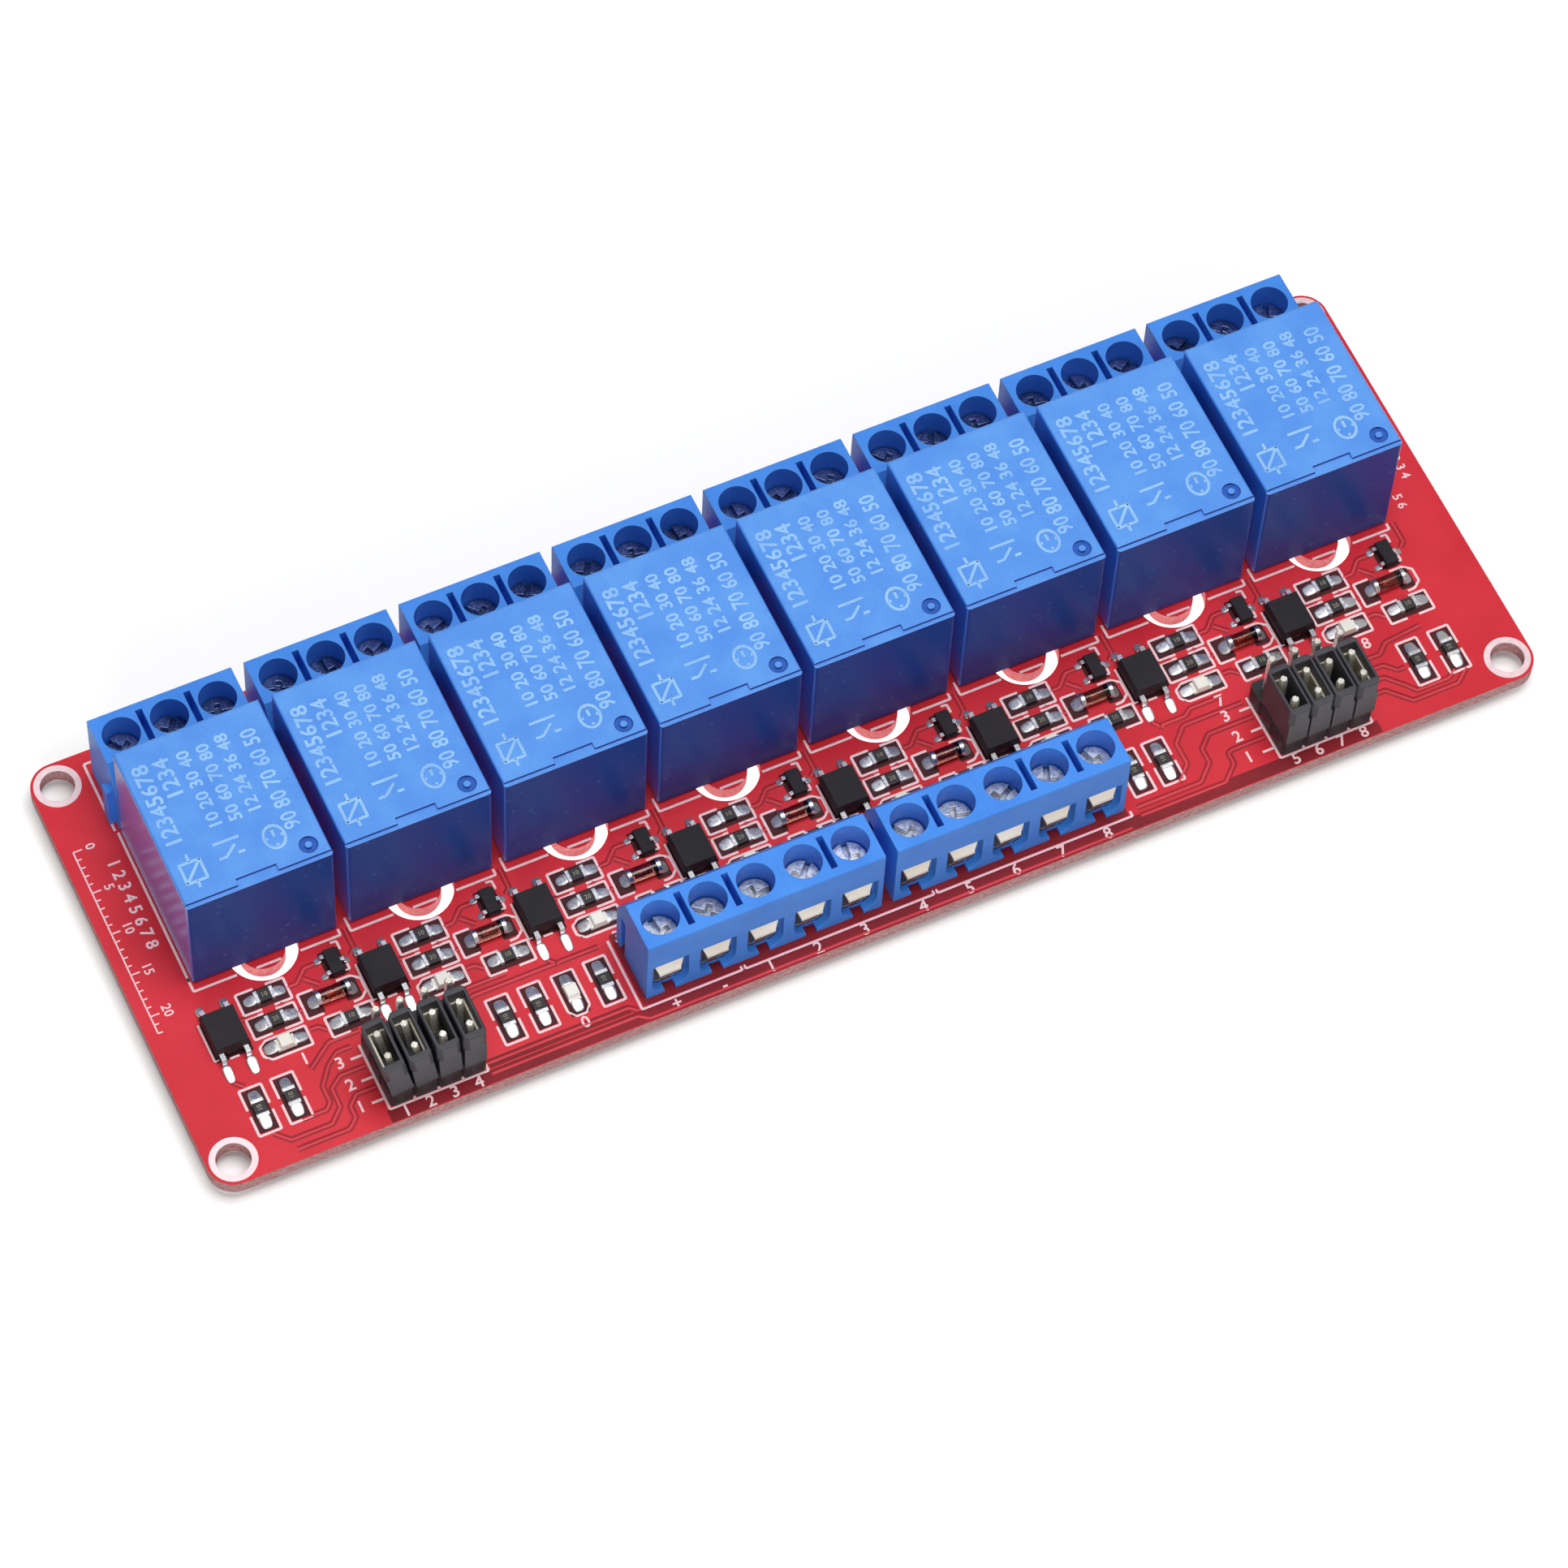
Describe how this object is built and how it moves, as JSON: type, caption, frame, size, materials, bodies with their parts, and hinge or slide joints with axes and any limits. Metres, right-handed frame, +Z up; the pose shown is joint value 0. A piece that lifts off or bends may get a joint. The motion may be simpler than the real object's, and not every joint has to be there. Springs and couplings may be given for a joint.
{
  "type": "relay module board",
  "caption": "Circuit board with a row of sealed relays, screw terminals along both long edges, optocouplers and jumper banks, and corner mounting holes.",
  "frame": {"origin": "middle of the four mounting holes, on the underside of the board", "axes": "+X along the row of relays, +Y from the control edge to the output edge, +Z up out of the component side"},
  "size_m": [0.1444, 0.0506, 0.0184],
  "materials": {
    "solder_mask": "glossy red solder mask on glass-fibre board",
    "tinned_ring": "tinned copper",
    "solder": "bright solder",
    "tinned_pin": "tinned copper",
    "relay_cover": "glossy blue moulding",
    "relay_mechanism": "dark base moulding with coil and iron",
    "terminal_housing": "satin blue moulding",
    "jumper_cap": "dark grey moulding",
    "plated_screw": "zinc plated steel",
    "plated_clamp": "bright tin plate",
    "plated_frame": "tin plated brass",
    "contact_strip": "tin plated spring brass",
    "header_strip": "black moulding",
    "header_pin": "plated brass",
    "black_epoxy": "matt black epoxy",
    "tinned_lead": "tinned copper",
    "diode_glass": "clear glass",
    "diode_cap": "tinned steel",
    "resistor_film": "dark grey film on ceramic",
    "lamp_resin": "milky resin"
  },
  "bodies": {
    "root": {"circuit_board": "solder_mask", "mounting_hole_rings": "tinned_ring", "solder_joints": "solder", "relay_pins": "tinned_pin", "relay_cover_1": "relay_cover", "relay_cover_2": "relay_cover", "relay_cover_3": "relay_cover", "relay_cover_4": "relay_cover", "relay_cover_5": "relay_cover", "relay_cover_6": "relay_cover", "relay_cover_7": "relay_cover", "relay_cover_8": "relay_cover", "relay_base_1": "relay_mechanism", "relay_base_2": "relay_mechanism", "relay_base_3": "relay_mechanism", "relay_base_4": "relay_mechanism", "relay_base_5": "relay_mechanism", "relay_base_6": "relay_mechanism", "relay_base_7": "relay_mechanism", "relay_base_8": "relay_mechanism", "output_terminal_1": "terminal_housing", "output_terminal_2": "terminal_housing", "output_terminal_3": "terminal_housing", "output_terminal_4": "terminal_housing", "output_terminal_5": "terminal_housing", "output_terminal_6": "terminal_housing", "output_terminal_7": "terminal_housing", "output_terminal_8": "terminal_housing", "input_terminal_1": "terminal_housing", "input_terminal_2": "terminal_housing", "input_terminal_3": "terminal_housing", "input_terminal_4": "terminal_housing", "jumper_cap_1": "jumper_cap", "jumper_cap_2": "jumper_cap", "jumper_cap_3": "jumper_cap", "jumper_cap_4": "jumper_cap", "jumper_cap_5": "jumper_cap", "jumper_cap_6": "jumper_cap", "jumper_cap_7": "jumper_cap", "jumper_cap_8": "jumper_cap", "output_terminal_screws": "plated_screw", "output_wire_clamps": "plated_clamp", "output_terminal_frames": "plated_frame", "input_terminal_screws": "plated_screw", "input_wire_clamps": "plated_clamp", "input_terminal_frames": "plated_frame", "jumper_contacts": "contact_strip", "header_strip_left": "header_strip", "header_strip_right": "header_strip", "header_pins": "header_pin", "optocoupler_bodies": "black_epoxy", "optocoupler_leads": "tinned_lead", "transistor_bodies": "black_epoxy", "transistor_leads": "tinned_lead", "diode_glass": "diode_glass", "diode_caps": "diode_cap", "resistor_bodies": "resistor_film", "resistor_terminals": "tinned_lead", "lamp_chips": "lamp_resin"}
  },
  "joints": []
}
